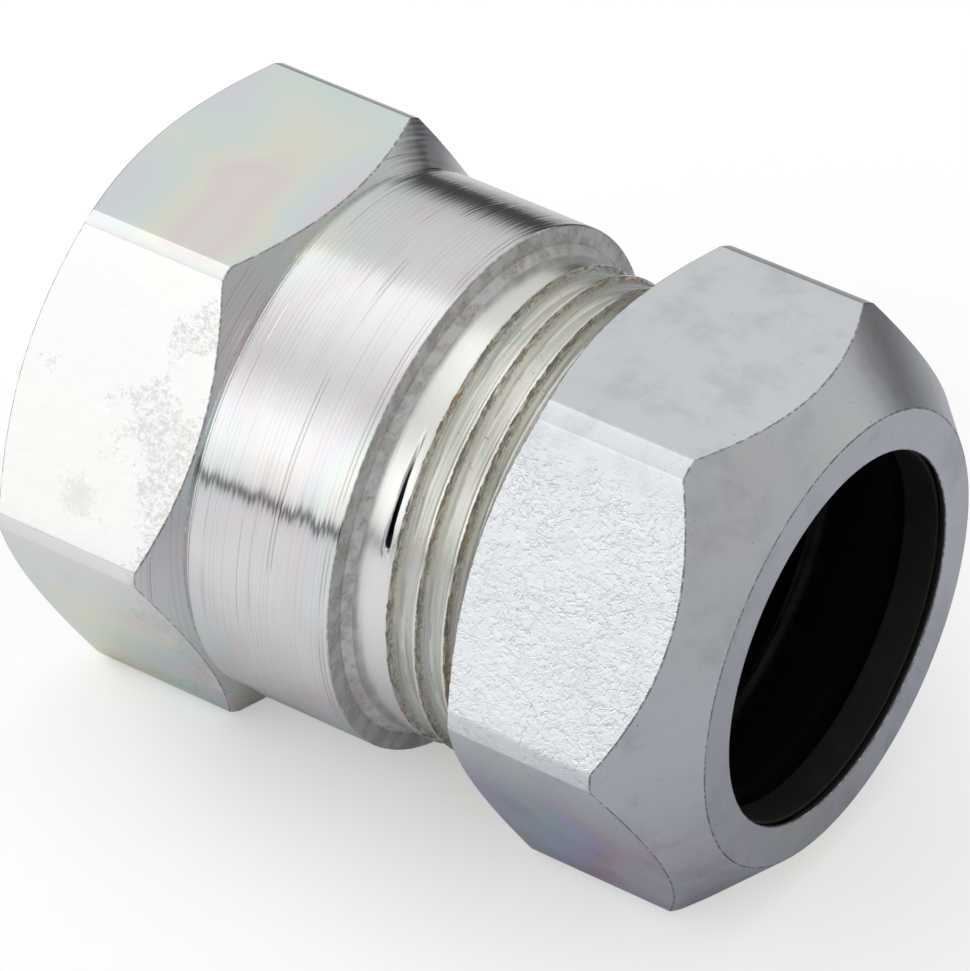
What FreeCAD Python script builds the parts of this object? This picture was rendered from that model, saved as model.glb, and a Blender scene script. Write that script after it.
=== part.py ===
import FreeCAD, Part
import math
import os

# Compression coupling for plain steel pipe, millimetres.
# The pipe axis runs along X, with the nut's mouth at +X.
# The part lies on the lower flats of its two hexagons, at Z = 0.
# Inside this file, stations along the axis are counted from the hexagon's end face.

# Pipe that the coupling is made for. Every radius follows from it and the walls below.
pipe_dia = 33.7

# Hexagon bar that the body and the nut are turned from
chamfer_inset = 1.2          # chamfer circle on an end face, inside the flats
end_chamfer_deg = 30.0       # chamfers on the outer ends, from the end plane

# Body, outside
hexagon_length = 20.25
body_corner_skim = 0.42      # taken off the bar's corners, on the radius
front_chamfer_deg = 34.0     # chamfer between hexagon and collar, from the end plane
relief_width = 0.35          # tool relief between chamfer and collar
relief_depth = 0.45
collar_skim = 0.12           # collar radius under the flats
collar_length = 15.05
edge_break = 0.2
shoulder_bevel = 0.8         # in the corner between shoulder and shank
shank_length = 2.6           # plain part, of the thread's major radius
thread_length = 18.6
thread_end_chamfer = 1.2
thread_pitch = 3.0           # M45 x 3, right-handed
thread_angle_deg = 60.0
thread_crest_share = 0.25    # flat crest and flat root, of the pitch
thread_root_share = 0.2
thread_lead_in = 0.5         # middle of the groove's start, after the shank
thread_start_deg = 225.0     # where the groove starts, from +Y towards +Z

# Body, inside
pipe_clearance = 0.3         # on the radius
stop_step = 3.25             # pipe's radius over the waterway's
stop_width = 5.0             # ring that the pipe's end meets
tapping_step = 1.545         # core radius of the 1 inch female thread over the waterway's
tapping_depth = 20.0
tapping_mouth = 1.6          # 45 degree countersink
seat_length = 6.4
seat_angle_deg = 15.0
seat_mouth_step = 2.415      # seat's wide end over the socket radius
seat_wall = 2.835            # seat's wide end to the thread's crests

# Split clamp ring in the body's seat
clamp_clearance = 0.12       # to the seat, square to the cone
clamp_bore_clearance = 0.38  # tooth tips to the pipe
clamp_setback = 0.35         # front face inside the body's mouth
clamp_rear_gap = 0.3         # rear face to the end of the seat
clamp_tooth_pitch = 1.0
clamp_tooth_depth = 0.4
clamp_tooth_count = 4
clamp_plain_rear = 1.4
clamp_slot = 2.6

# Nut
nut_gap = 12.25              # shoulder to the nut's rear face, as photographed
nut_length = 24.2
nut_wall = 2.35              # thread bore to the flats
nut_corner_skim = 0.54
nut_cone_deg = 45.0
nut_front_width = 3.85       # flat ring round the mouth
mouth_clearance = 0.6        # to the pipe
mouth_land = 0.3
nut_thread_clearance = 0.25
nut_thread_length = 14.6
nut_rear_countersink = 0.8
seal_shelf = 1.2             # seal's room inside the thread's major radius

# Seal and washer, which travel with the nut
seal_clearance = 0.25        # to the nut
seal_bore_clearance = 0.42   # to the pipe
seal_nose_wall = 0.3
seal_length = 9.6
seal_band = 3.35             # plain bore behind the nose
seal_groove_depth = 0.7
seal_groove_width = 2.2
washer_thickness = 1.5
washer_bore_clearance = 0.6

# Radii, from the pipe outwards
pipe_r = pipe_dia / 2
waterway_r = pipe_r - stop_step
tapping_r = waterway_r + tapping_step
socket_r = pipe_r + pipe_clearance
seat_mouth_r = socket_r + seat_mouth_step
seat_small_r = seat_mouth_r - seat_length * math.tan(math.radians(seat_angle_deg))
thread_r = seat_mouth_r + seat_wall
mouth_r = pipe_r + mouth_clearance
nut_front_r = mouth_r + nut_front_width
seal_room_r = thread_r - seal_shelf
nut_thread_r = thread_r + nut_thread_clearance
flat_r = nut_thread_r + nut_wall
corner_r = flat_r / math.cos(math.radians(30))
body_corner_r = corner_r - body_corner_skim
nut_corner_r = corner_r - nut_corner_skim
end_face_r = flat_r - chamfer_inset
collar_r = flat_r - collar_skim

# Stations along the axis
collar_x = hexagon_length + relief_width
shoulder_x = collar_x + collar_length
thread_x = shoulder_x + shank_length
body_end_x = thread_x + thread_length
stop_x = tapping_depth + stop_width
seat_x = body_end_x - seat_length
nut_rear_x = shoulder_x + nut_gap
nut_front_x = nut_rear_x + nut_length

# Thread groove
flank_run = thread_pitch * (1 - thread_crest_share - thread_root_share) / 2
thread_depth = flank_run / math.tan(math.radians(thread_angle_deg / 2))

overall_length = nut_front_x
middle_x = overall_length / 2


def turned(points):
    """Solid of revolution about the pipe axis from (station, radius) points."""
    corners = [FreeCAD.Vector(x, r, 0) for x, r in points]
    wire = Part.makePolygon(corners + corners[:1])
    return Part.Face(wire).revolve(FreeCAD.Vector(0, 0, 0), FreeCAD.Vector(1, 0, 0), 360)


def hexagon_bar(start, end):
    """Hexagon bar along the axis, with flats at the top and the bottom."""
    corners = []
    for index in range(7):
        angle = math.radians(60 * index)
        corners.append(FreeCAD.Vector(start, corner_r * math.cos(angle), corner_r * math.sin(angle)))
    face = Part.Face(Part.makePolygon(corners))
    return face.extrude(FreeCAD.Vector(end - start, 0, 0))


def chamfer_run(radial, degrees):
    """Axial length of a chamfer that takes off a radial amount, angled from the end plane."""
    return radial * math.tan(math.radians(degrees))


def cone_radius(start_r, run, degrees):
    """Radius after a run along a cone that opens by an angle from the axis."""
    return start_r + run * math.tan(math.radians(degrees))


def place(shape):
    """Moves a shape from axis stations to the part's own frame."""
    shape.translate(FreeCAD.Vector(-middle_x, 0, flat_r))
    return shape


def thread_groove(start, end):
    """Helical groove about the pipe axis, to be cut from a cylinder of the thread's major radius."""
    over = 0.1
    root_r = thread_r - thread_depth
    half_root = thread_pitch * thread_root_share / 2
    half_top = half_root + flank_run * (thread_depth + over) / thread_depth
    section = Part.makePolygon([
        FreeCAD.Vector(root_r, 0, -half_root),
        FreeCAD.Vector(thread_r + over, 0, -half_top),
        FreeCAD.Vector(thread_r + over, 0, half_top),
        FreeCAD.Vector(root_r, 0, half_root),
        FreeCAD.Vector(root_r, 0, -half_root),
    ])
    turns = math.ceil((end - start) / thread_pitch) + 1
    path = []
    for turn in range(turns):
        lap = Part.makeHelix(thread_pitch, thread_pitch, root_r)
        lap.translate(FreeCAD.Vector(0, 0, turn * thread_pitch))
        path += lap.Edges
    groove = Part.Wire(path).makePipeShell([section], True, True)
    groove.rotate(FreeCAD.Vector(0, 0, 0), FreeCAD.Vector(0, 1, 0), 90)
    groove.rotate(FreeCAD.Vector(0, 0, 0), FreeCAD.Vector(1, 0, 0), 90 + thread_start_deg)
    groove.translate(FreeCAD.Vector(start, 0, 0))
    return groove


def body_outside():
    rear_run = chamfer_run(body_corner_r - end_face_r, end_chamfer_deg)
    relief_r = collar_r - relief_depth
    front_run = chamfer_run(body_corner_r - relief_r, front_chamfer_deg)
    hexagon = turned([
        (0, 0),
        (0, end_face_r),
        (rear_run, body_corner_r),
        (hexagon_length - front_run, body_corner_r),
        (hexagon_length, relief_r),
        (hexagon_length, 0),
    ]).common(hexagon_bar(0, hexagon_length))
    spigot = turned([
        (hexagon_length, 0),
        (hexagon_length, relief_r),
        (collar_x, relief_r),
        (collar_x, collar_r - edge_break),
        (collar_x + edge_break, collar_r),
        (shoulder_x - edge_break, collar_r),
        (shoulder_x, collar_r - edge_break),
        (shoulder_x, thread_r + shoulder_bevel),
        (shoulder_x + shoulder_bevel, thread_r),
        (body_end_x - thread_end_chamfer, thread_r),
        (body_end_x, thread_r - thread_end_chamfer),
        (body_end_x, 0),
    ])
    return hexagon.fuse(spigot.cut(thread_groove(thread_x + thread_lead_in, body_end_x)))


def body_inside():
    return turned([
        (0, 0),
        (0, tapping_r + tapping_mouth),
        (tapping_mouth, tapping_r),
        (tapping_depth, tapping_r),
        (tapping_depth, waterway_r),
        (stop_x, waterway_r),
        (stop_x, socket_r),
        (seat_x, socket_r),
        (seat_x, seat_small_r),
        (body_end_x, seat_mouth_r),
        (body_end_x, 0),
    ])


def coupling_body():
    return body_outside().cut(body_inside())


def clamp_ring():
    front_x = body_end_x - clamp_setback
    rear_x = seat_x + clamp_rear_gap
    gap = clamp_clearance / math.cos(math.radians(seat_angle_deg))
    rear_r = cone_radius(seat_small_r, rear_x - seat_x, seat_angle_deg) - gap
    front_r = cone_radius(seat_small_r, front_x - seat_x, seat_angle_deg) - gap
    tip_r = pipe_r + clamp_bore_clearance
    teeth_x = rear_x + clamp_plain_rear
    profile = [(rear_x, tip_r), (rear_x, rear_r), (front_x, front_r), (front_x, tip_r)]
    profile.append((teeth_x + clamp_tooth_count * clamp_tooth_pitch, tip_r))
    for tooth in reversed(range(clamp_tooth_count)):
        root_x = teeth_x + tooth * clamp_tooth_pitch
        profile.append((root_x, tip_r + clamp_tooth_depth))
        profile.append((root_x, tip_r))
    ring = turned(profile)
    slot = Part.makeBox(
        front_x - rear_x + 2, clamp_slot, front_r + 1,
        FreeCAD.Vector(rear_x - 1, -clamp_slot / 2, 0))
    return ring.cut(slot)


def compression_nut():
    rear_run = chamfer_run(nut_corner_r - end_face_r, end_chamfer_deg)
    front_run = (nut_corner_r - nut_front_r) / math.tan(math.radians(nut_cone_deg))
    outside = turned([
        (nut_rear_x, 0),
        (nut_rear_x, end_face_r),
        (nut_rear_x + rear_run, nut_corner_r),
        (nut_front_x - front_run, nut_corner_r),
        (nut_front_x, nut_front_r),
        (nut_front_x, 0),
    ]).common(hexagon_bar(nut_rear_x, nut_front_x))
    countersink_r = nut_thread_r + nut_rear_countersink
    thread_end_x = nut_rear_x + nut_thread_length
    inner_cone_x = nut_front_x - mouth_land - (seal_room_r - mouth_r)
    inside = turned([
        (nut_rear_x, 0),
        (nut_rear_x, countersink_r),
        (nut_rear_x + nut_rear_countersink, nut_thread_r),
        (thread_end_x, nut_thread_r),
        (thread_end_x, seal_room_r),
        (inner_cone_x, seal_room_r),
        (nut_front_x - mouth_land, mouth_r),
        (nut_front_x, mouth_r),
        (nut_front_x, 0),
    ])
    return outside.cut(inside)


def seal_stations():
    """Nose and rear of the seal, which sits in the nut's 45 degree inner cone."""
    bore_r = pipe_r + seal_bore_clearance
    cone_offset = seal_clearance * math.sqrt(2)
    nose_x = nut_front_x - mouth_land - (bore_r + seal_nose_wall - mouth_r) - cone_offset
    return bore_r, nose_x, nose_x - seal_length


def seal_ring():
    bore_r, nose_x, rear_x = seal_stations()
    outer_r = seal_room_r - seal_clearance
    cone_x = nose_x - (outer_r - bore_r - seal_nose_wall)
    groove_x = nose_x - seal_band
    return turned([
        (rear_x, bore_r),
        (rear_x, outer_r),
        (cone_x, outer_r),
        (nose_x, bore_r + seal_nose_wall),
        (nose_x, bore_r),
        (groove_x, bore_r),
        (groove_x - seal_groove_width * 0.25, bore_r + seal_groove_depth),
        (groove_x - seal_groove_width * 0.75, bore_r + seal_groove_depth),
        (groove_x - seal_groove_width, bore_r),
    ])


def thrust_washer():
    front_x = seal_stations()[2]
    rear_x = front_x - washer_thickness
    bore_r = pipe_r + washer_bore_clearance
    outer_r = seal_room_r - seal_clearance
    return turned([
        (rear_x, bore_r),
        (rear_x, outer_r),
        (front_x, outer_r),
        (front_x, bore_r),
    ])


pieces = {
    "coupling_body": coupling_body,
    "clamp_ring": clamp_ring,
    "thrust_washer": thrust_washer,
    "seal_ring": seal_ring,
    "compression_nut": compression_nut,
}

os.makedirs("parts", exist_ok=True)
for name, build in pieces.items():
    shape = place(build())
    shape.exportStep("parts/" + name + ".step")
    box = shape.BoundBox
    print(name, "valid", shape.isValid(), "solids", len(shape.Solids), "volume", round(shape.Volume),
          "x", round(box.XMin, 2), round(box.XMax, 2), "z", round(box.ZMin, 2), round(box.ZMax, 2))
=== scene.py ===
import math

import bmesh
import bpy
import numpy as np
from mathutils import Matrix, Vector


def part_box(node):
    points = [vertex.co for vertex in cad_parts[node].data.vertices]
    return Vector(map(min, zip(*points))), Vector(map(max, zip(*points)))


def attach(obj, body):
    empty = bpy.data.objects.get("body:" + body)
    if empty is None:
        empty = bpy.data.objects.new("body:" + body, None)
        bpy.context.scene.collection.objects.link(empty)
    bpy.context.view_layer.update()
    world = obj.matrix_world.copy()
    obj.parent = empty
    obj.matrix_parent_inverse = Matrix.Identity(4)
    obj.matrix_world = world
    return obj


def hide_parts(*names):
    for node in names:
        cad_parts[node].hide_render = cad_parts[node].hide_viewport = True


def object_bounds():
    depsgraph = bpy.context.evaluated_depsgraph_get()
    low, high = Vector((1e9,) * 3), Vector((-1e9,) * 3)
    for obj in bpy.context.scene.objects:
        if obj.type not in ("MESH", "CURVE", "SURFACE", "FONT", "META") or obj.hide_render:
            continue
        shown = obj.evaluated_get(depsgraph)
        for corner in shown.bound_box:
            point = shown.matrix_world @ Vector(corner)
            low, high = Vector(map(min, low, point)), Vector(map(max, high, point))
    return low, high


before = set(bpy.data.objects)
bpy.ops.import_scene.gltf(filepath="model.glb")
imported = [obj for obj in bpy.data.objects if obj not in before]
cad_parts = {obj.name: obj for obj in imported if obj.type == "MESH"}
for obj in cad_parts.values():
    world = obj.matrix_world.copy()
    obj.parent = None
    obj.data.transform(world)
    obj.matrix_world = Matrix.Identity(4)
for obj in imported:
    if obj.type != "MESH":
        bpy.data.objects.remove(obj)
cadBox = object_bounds()
scene = bpy.context.scene
scene.view_settings.view_transform = "Standard"
print("frame loaded:", ", ".join(sorted(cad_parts)))

# Lengths are in millimetres until they reach a mesh.
# Stations run along the pipe axis from the hexagon's end face.
mm = 0.001
coupling = {
    "length": (cadBox[1][0] - cadBox[0][0]) / mm,
    "axisHeight": 25.0,  # the part lies on its flats at height 0
    "flat": 25.0,  # axis to a flat of either hexagon
}


def fromStation(station):
    return station - coupling["length"] / 2


def endsOf(node):  # stations of a solid's two ends
    low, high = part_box(node)
    return [end / mm + coupling["length"] / 2 for end in (low[0], high[0])]


# Node trees

class Wire:
    def __init__(self, recipe, socket):
        self.recipe = recipe
        self.socket = socket

    def out(self, name):
        return Wire(self.recipe, self.socket.node.outputs[name])

    def maths(self, operation, *others, clamp=False):
        values = dict(enumerate((self, *others)))
        return self.recipe.node("ShaderNodeMath", {"operation": operation, "use_clamp": clamp}, values)

    def __add__(self, other):
        return self.maths("ADD", other)

    __radd__ = __add__

    def __sub__(self, other):
        return self.maths("SUBTRACT", other)

    def __rsub__(self, other):
        return self.recipe.node("ShaderNodeMath", {"operation": "SUBTRACT"}, {0: other, 1: self})

    def __mul__(self, other):
        return self.maths("MULTIPLY", other)

    def __truediv__(self, other):
        return self.maths("DIVIDE", other)

    def __pow__(self, other):
        return self.maths("POWER", other)

    def step(self, low, high):  # 0 below low, 1 above high, smooth between
        ends = {"Value": self, "From Min": low, "From Max": high}
        return self.recipe.node("ShaderNodeMapRange", {"interpolation_type": "SMOOTHSTEP"}, ends)

    def past(self, name):  # the step that the finish's look names
        return self.step(*self.recipe.look[name])

    def clamped(self):
        return self.maths("ADD", 0.0, clamp=True)


class Recipe:
    def __init__(self, tree):
        self.tree = tree

    def node(self, kind, settings=None, sockets=None, out=0):
        made = self.tree.nodes.new(kind)
        for name, value in (settings or {}).items():
            if name == "stops":
                self.fillRamp(made.color_ramp, value)
            else:
                setattr(made, name, value)
        for name, value in (sockets or {}).items():
            if isinstance(value, Wire):
                self.tree.links.new(value.socket, made.inputs[name])
            else:
                made.inputs[name].default_value = value
        return Wire(self, made.outputs[out]) if made.outputs else made

    def fillRamp(self, ramp, stops):
        while len(ramp.elements) > 1:
            ramp.elements.remove(ramp.elements[-1])
        for index, (place, shade) in enumerate(stops):
            stop = ramp.elements[0] if index == 0 else ramp.elements.new(place)
            stop.position = place
            stop.color = (*shade, 1)

    def combine(self, x, y, z):
        return self.node("ShaderNodeCombineXYZ", None, {0: x, 1: y, 2: z})

    def mix(self, share, first, second, blend="MIX"):
        settings = {"data_type": "RGBA", "blend_type": blend}
        return self.node("ShaderNodeMix", settings, {0: share, 6: first, 7: second}, 2)

    def ramp(self, share, stops):
        return self.node("ShaderNodeValToRGB", {"stops": stops}, {0: share})

    def mapped(self, vector, **sockets):
        return self.node("ShaderNodeMapping", None, {"Vector": vector, **sockets})

    def scaledSum(self, vector, factor, added):
        sockets = {0: vector, 1: factor, 2: added}
        return self.node("ShaderNodeVectorMath", {"operation": "MULTIPLY_ADD"}, sockets)

    def noise(self, vector, scale, detail=2.0, roughness=0.5):
        sockets = {"Vector": vector, "Scale": scale, "Detail": detail, "Roughness": roughness}
        return self.node("ShaderNodeTexNoise", None, sockets)


# Camera, floor and light

cameraView = {
    "azimuth": 34.068,
    "elevation": 38.267,
    "roll": 0.547,
    "distance": 639.5,
    "aimAcross": -0.844,
    "aimUp": 0.480,
    "lens": 267.97,
    "sensor": 36,
    "clip": (50, 20000),
}


def setCamera(view):
    azimuth, elevation, roll = (math.radians(view[name]) for name in ("azimuth", "elevation", "roll"))
    outward = Vector((math.sin(azimuth), -math.cos(azimuth), 0))
    back = outward * math.cos(elevation) + Vector((0, 0, math.sin(elevation)))
    level = Vector((math.cos(azimuth), math.sin(azimuth), 0))
    upright = back.cross(level)
    right = level * math.cos(roll) + upright * math.sin(roll)
    up = upright * math.cos(roll) - level * math.sin(roll)
    aim = Vector((0, 0, coupling["axisHeight"])) + right * view["aimAcross"] + up * view["aimUp"]
    camera = bpy.data.objects.new("camera", bpy.data.cameras.new("camera"))
    scene.collection.objects.link(camera)
    turn = Matrix((right, up, back)).transposed().to_4x4()
    camera.matrix_world = Matrix.Translation((aim + back * view["distance"]) * mm) @ turn
    camera.data.lens = view["lens"]
    camera.data.sensor_width = view["sensor"]
    camera.data.clip_start, camera.data.clip_end = (end * mm for end in view["clip"])
    scene.camera = camera


floorLook = {
    "front": 3000.0,
    "back": 330.0,
    "side": 1500.0,
    "drop": 0.02,  # below the flats, so the two faces don't fight
    # the table's colour holds painted light: a darker painted shade tone, a painted pool of light, painted
    # shade behind the part and a painted shadow in front
    "paintedShadeTone": (0.52, 0.53, 0.57),
    "paintedLightPool": (0.91, 0.91, 0.93),  # painted pool of light round the hexagon end, where the metal mirrors a brighter table
    "paintedLightPoolAcross": (-14.0, 44.0),
    "paintedFarShade": 0.45,  # painted shade: the table behind the part darkens
    "paintedFarShadeAway": (50.0, 230.0),
    "paintedContactShadow": 0.84,  # painted shadow just in front of the part
    "paintedContactShadowWithin": (15.0, 75.0),
    "openLight": 0.84,  # light that reaches the open table
    "seen": 0.985,  # how bright the open table looks
}


def makeFloor(look):
    mesh = bpy.data.meshes.new("floor")
    side, front, back, drop = (look[name] * mm for name in ("side", "front", "back", "drop"))
    points = [(-side, -front, -drop), (side, -front, -drop), (side, back, -drop), (-side, back, -drop)]
    mesh.from_pydata(points, [], [(0, 1, 2, 3)])
    floor = bpy.data.objects.new("floor", mesh)
    scene.collection.objects.link(floor)
    material = bpy.data.materials.new("tableWithPaintedLight")
    material.use_nodes = True
    material.node_tree.nodes.clear()
    recipe = Recipe(material.node_tree)
    spot = recipe.node("ShaderNodeTexCoord", out="Object")
    x = recipe.node("ShaderNodeSeparateXYZ", None, {0: spot}, "X")
    # painted light on the table: a pool of light round the hexagon end, painted shade behind the part and a
    # painted shadow just in front of it
    paintedLightPool = 1.0 - x.step(*(end * mm for end in look["paintedLightPoolAcross"]))
    colour = recipe.mix(paintedLightPool, (*look["paintedShadeTone"], 1), (*look["paintedLightPool"], 1))
    away = x.out("Y").step(*(end * mm for end in look["paintedFarShadeAway"]))
    paintedContactShadow = 1.0 - (x.out("Y") * -1.0).step(*(end * mm for end in look["paintedContactShadowWithin"]))
    dark = (away * (1.0 - look["paintedFarShade"])).maths("MAXIMUM", paintedContactShadow * paintedLightPool * (1.0 - look["paintedContactShadow"]))
    colour = recipe.mix(dark, colour, (0, 0, 0, 1))
    paint = recipe.node("ShaderNodeBsdfDiffuse", None, {"Color": colour})
    # the camera sees an even white table, less the object's shadow
    missing = recipe.scaledSum(colour, (-look["openLight"],) * 3, (look["seen"],) * 3)
    cameraRay = recipe.node("ShaderNodeLightPath", out="Is Camera Ray")
    lift = recipe.node("ShaderNodeEmission", None, {"Color": missing, "Strength": cameraRay})
    both = recipe.node("ShaderNodeAddShader", None, {0: paint, 1: lift})
    recipe.node("ShaderNodeOutputMaterial", None, {"Surface": both})
    mesh.materials.append(material)


# Brightness of the light tent by the angle round the pipe axis, from +Y over the top to -Y
tentLook = {
    "slant": 25.0,  # degrees that the light edges lean along the part
    "lean": 0.44,
    "leanReach": 0.2,
    "arc": [
        (-180.0, 0.5), (-12.0, 0.3), (-6.0, 0.06), (0.0, 0.05), (6.0, 0.07), (10.0, 0.2), (14.0, 0.42),
        (20.0, 0.64), (28.0, 0.69), (40.0, 0.73), (58.0, 0.75), (67.0, 0.8), (72.0, 1.12), (80.0, 1.14),
        (90.0, 1.08), (98.0, 1.0), (108.0, 0.88), (118.0, 0.79), (126.0, 0.8), (136.0, 1.03), (145.0, 1.23),
        (157.0, 1.24), (165.0, 1.1), (171.0, 1.0), (175.2, 0.9), (175.8, 0.04), (180.0, 0.04),
    ],
    "side": [(-1.0, 1.0), (0.1, 1.0), (0.45, 0.68), (0.75, 0.53), (1.0, 0.5)],
    "even": 0.9,  # past the nut's mouth the tent is plain
    "evenFrom": (0.3, 0.52),
    "brightest": 2.0,  # ramps hold shares of it
    "cameraWhite": 1.0,
}


def setTent(look):
    world = bpy.data.worlds.new("tent")
    scene.world = world
    world.use_nodes = True
    world.node_tree.nodes.clear()
    recipe = Recipe(world.node_tree)
    way = recipe.node("ShaderNodeTexCoord", out="Generated")
    x = recipe.node("ShaderNodeSeparateXYZ", None, {0: way}, "X")
    angle = x.out("Z").maths("ARCTAN2", x.out("Y")) * (180 / math.pi)
    reach, brightest = look["leanReach"], look["brightest"]
    leaning = angle + (x + look["lean"]).maths("MAXIMUM", -reach).maths("MINIMUM", reach) * look["slant"]
    arcStops = [((place + 180) / 360, (value / brightest,) * 3) for place, value in look["arc"]]
    arc = recipe.ramp((leaning + 180) / 360, arcStops)
    side = recipe.ramp((x + 1) / 2, [((place + 1) / 2, (value,) * 3) for place, value in look["side"]])
    even = recipe.mix(x.step(*look["evenFrom"]), arc, (*(look["even"] / brightest,) * 3, 1))
    tone = recipe.mix(1.0, even, side, "MULTIPLY")
    light = recipe.node("ShaderNodeBackground", None, {"Color": tone, "Strength": brightest})
    sockets = {"Color": (1, 1, 1, 1), "Strength": look["cameraWhite"]}
    white = recipe.node("ShaderNodeBackground", None, sockets)
    cameraRay = recipe.node("ShaderNodeLightPath", out="Is Camera Ray")
    both = recipe.node("ShaderNodeMixShader", None, {0: cameraRay, 1: light, 2: white})
    recipe.node("ShaderNodeOutputWorld", None, {"Surface": both})


keyLook = {"place": (-720, -60, 520), "size": 420, "power": 1.2}


def addKey(look):
    lamp = bpy.data.lights.new("key", "AREA")
    lamp.shape = "SQUARE"
    lamp.size = look["size"] * mm
    lamp.energy = look["power"]
    key = bpy.data.objects.new("key", lamp)
    key.location = Vector(look["place"]) * mm
    towards = Vector((0, 0, coupling["axisHeight"])) - Vector(look["place"])
    key.rotation_mode = "QUATERNION"
    key.rotation_quaternion = towards.to_track_quat("-Z", "Y")
    scene.collection.objects.link(key)


setCamera(cameraView)
makeFloor(floorLook)
setTent(tentLook)
addKey(keyLook)
print("camera, floor and light set")


# Finishes
# A noise is given by its scale, or its scales along and round the axis, then its detail and roughness.
# A stain has a colour and a share, and a roughness a middle and a spread.
# Any other pair says where something starts and where it is full.

class Finish(Recipe):
    def __init__(self, name, look):
        self.look = look
        self.material = bpy.data.materials.new(name)
        self.material.use_nodes = True
        super().__init__(self.material.node_tree)
        self.tree.nodes.clear()
        spot = self.node("ShaderNodeTexCoord", out="Object")
        self.spot = self.mapped(spot, Location=(0, 0, -coupling["axisHeight"]), Scale=(1 / mm,) * 3)
        self.x = self.node("ShaderNodeSeparateXYZ", None, {0: self.spot}, "X")
        self.y, self.z = self.x.out("Y"), self.x.out("Z")
        self.radius = (self.y * self.y + self.z * self.z) ** 0.5
        # runs along a turned surface, whichever way its outline goes
        self.along = self.x * 0.8 + self.radius * 1.3

    def pattern(self, name, vector=None):
        scale, *grain = self.look[name]
        if isinstance(scale, tuple):  # drawn out round the axis
            along, around = scale
            y, z = (way / self.radius * around for way in (self.y, self.z))
            vector, scale = self.combine(self.along * along, y, z), 1.0
        return self.noise(vector or self.spot, scale, *grain)

    def stained(self, tone, amount, name):
        colour, share = self.look[name]
        return self.mix(amount * share, tone, colour)

    def rough(self, spread):
        middle, reach = self.look["roughness"]
        return middle + (spread - 0.5) * reach

    def swayed(self, tilt):  # the surface's direction, turned a little round the axis
        direction = self.node("ShaderNodeNewGeometry", out="Normal")
        sideways = self.combine(0.0, self.z * -1.0, self.y)
        share = tilt / self.radius
        turned = self.scaledSum(sideways, self.combine(share, share, share), direction)
        return self.node("ShaderNodeVectorMath", {"operation": "NORMALIZE"}, {0: turned})

    def attribute(self, name):
        return self.node("ShaderNodeAttribute", {"attribute_name": name}, out="Fac")

    def finish(self, tone, rough, height, sway=None, metallic=None):
        bump = {"Strength": 1.0, "Distance": mm, "Height": height}
        if sway is not None:
            bump["Normal"] = self.swayed(sway)
        sockets = {"Base Color": tone, "Roughness": rough, "Metallic": 1.0, **self.look.get("sockets", {})}
        if metallic is not None:
            sockets["Metallic"] = metallic
        sockets["Normal"] = self.node("ShaderNodeBump", None, bump)
        shader = self.node("ShaderNodeBsdfPrincipled", None, sockets)
        self.node("ShaderNodeOutputMaterial", None, {"Surface": shader})
        return self.material


rainbowLook = {
    "detail": (1.5, 0.4), "ripple": 0.16, "rippleShare": 0.07,
    "bands": [
        (0.34, (1.0, 1.0, 1.0)), (0.39, (1.0, 0.87, 0.90)), (0.44, (0.92, 0.90, 1.0)),
        (0.49, (0.87, 0.96, 1.0)), (0.54, (0.86, 1.0, 0.95)), (0.59, (1.0, 1.0, 0.86)),
        (0.64, (1.0, 0.88, 0.89)), (0.71, (1.0, 1.0, 1.0)),
    ],
    "topFrom": (24.6, 24.95),  # heights above the axis
    "lowUpTo": (-15.0, -2.0),
}
edgeLook = {"chips": (1.6, 3.0, 0.7), "unchipped": 0.35, "line": (0.62, 0.95)}


def rainbow(recipe, base, look=rainbowLook):
    # bands of interference colour, as on passivated zinc: top, middle and low faces show them differently;
    # the low faces take the tint twice, partly the film's colour and partly painted shade of the underside
    own = recipe.look["rainbow"]
    flow = recipe.noise(recipe.mapped(recipe.spot, Location=own["shift"]), own["scale"], *look["detail"])
    flow = flow + (recipe.x * look["ripple"]).maths("SINE") * look["rippleShare"]
    tint = recipe.ramp(flow, look["bands"])
    top, middle, low = own["faces"]
    below = 1.0 - recipe.z.step(*look["lowUpTo"])
    strength = middle + recipe.z.step(*look["topFrom"]) * (top - middle) + below * (low - middle)
    # the second tint on the low faces also darkens them: painted shade of the underside
    return recipe.mix(below * low, recipe.mix(strength, base, tint, "MULTIPLY"), tint, "MULTIPLY")


def wornEdge(recipe, tone, look=edgeLook):
    # a thin dark line along the edges, broken up
    chips = recipe.noise(recipe.spot, *look["chips"]) + look["unchipped"]
    return recipe.stained(tone, (recipe.attribute("edge") * chips).step(*look["line"]), "edge")


turnedLook = {
    "colour": (0.80, 0.805, 0.79, 1), "roughness": (0.14, 0.1),
    "rainbow": {"faces": (0.3, 0.5, 0.5), "scale": 0.06, "shift": (3, 1, 2)},
    "feed": 0.36,  # between the tool's lines
    "feedHeight": 0.0016, "feedFrom": (0.4, 1.0), "drift": ((0.3, 0.8), 1.0), "driftShare": 4.0,
    "single": ((4.4, 0.35), 2.0, 0.7), "broad": ((1.4, 1.2), 1.0), "broadShare": 0.3,
    "patch": ((0.22, 2.6), 1.0), "patchFrom": (0.4, 0.65), "line": ((0.55, 0.55, 0.54, 1), 0.35),
    "lineFrom": (0.42, 0.56), "lineHeight": 0.003, "lineSway": 0.1, "lanes": 0.55,
    "laneLevel": 0.56, "groove": ((0.17, 0.17, 0.17, 1), 0.45), "grooveEdge": (0.002, 0.01),
    "groovePatch": (0.42, 0.55), "grooveHeight": 0.006, "edge": ((0.17, 0.17, 0.17, 1), 0.5),
}


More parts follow.
